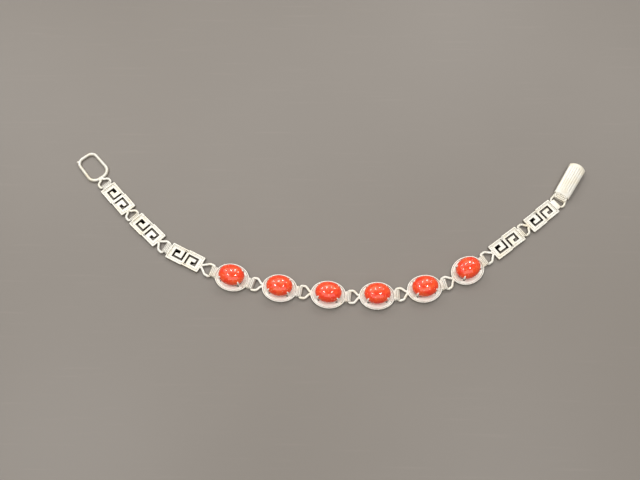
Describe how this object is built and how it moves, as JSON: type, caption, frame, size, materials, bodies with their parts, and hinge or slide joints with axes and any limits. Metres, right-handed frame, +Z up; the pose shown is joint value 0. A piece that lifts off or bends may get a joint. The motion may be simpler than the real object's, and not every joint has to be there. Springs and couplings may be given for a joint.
{
  "type": "link bracelet",
  "caption": "Open silver-toned link bracelet: oval coral cabochons in prong trays, pierced key-pattern plates, an end loop and a fold-over clasp.",
  "frame": {"origin": "on the surface it lies on, under the middle of its outline", "axes": "+X along the open bracelet from the end loop towards the clasp, +Y towards the side where both ends lie, +Z up"},
  "size_m": [0.1652, 0.0532, 0.0051],
  "materials": {
    "silver": "polished silver tone with fine scratches",
    "coral": "polished coral"
  },
  "bodies": {
    "bracelet": {"end_loop": "silver", "key_plate_1": "silver", "key_plate_2": "silver", "key_plate_3": "silver", "key_plate_4": "silver", "key_plate_5": "silver", "setting_1": "silver", "setting_2": "silver", "setting_3": "silver", "setting_4": "silver", "setting_5": "silver", "setting_6": "silver", "coral_1": "coral", "coral_2": "coral", "coral_3": "coral", "coral_4": "coral", "coral_5": "coral", "coral_6": "coral", "clasp_base": "silver", "clasp_pin": "silver"},
    "lever": {"clasp_lever": "silver"}
  },
  "joints": [
    {"name": "clasp_lever_hinge", "type": "hinge", "parent": "bracelet", "child": "lever", "pos_m": [0.08032, 0.02159, 0.0013], "axis": [-0.8434, 0.5373, 0], "range_deg": [0, 110]}
  ]
}
